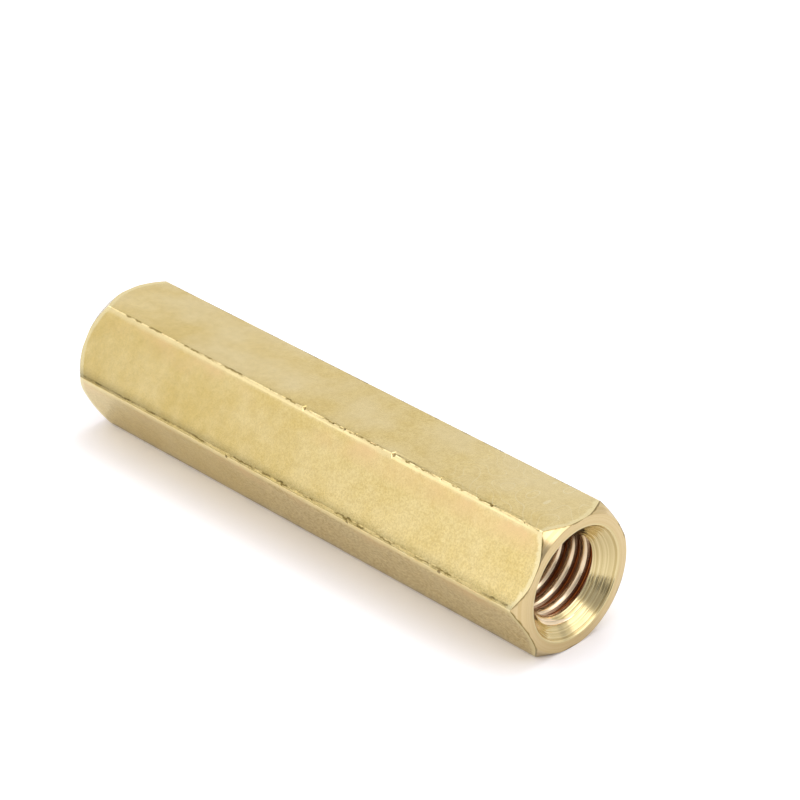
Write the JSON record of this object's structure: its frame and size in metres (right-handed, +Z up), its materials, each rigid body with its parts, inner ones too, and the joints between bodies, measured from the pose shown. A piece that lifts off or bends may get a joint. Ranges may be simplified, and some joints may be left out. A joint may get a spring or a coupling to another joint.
{
  "type": "hex standoff",
  "caption": "Hexagonal brass spacer with a tapped hole right through it, chamfered and countersunk at both ends, for holding a board off a panel.",
  "frame": {"origin": "middle of the flat that the standoff lies on, half way along its length", "axes": "+X along the standoff's length, +Z up, square to the flat it lies on"},
  "size_m": [0.02, 0.0052, 0.0045],
  "materials": {
    "brass": "bare, drawn on the flats and turned at the ends"
  },
  "bodies": {
    "root": {"standoff": "brass"}
  },
  "joints": []
}
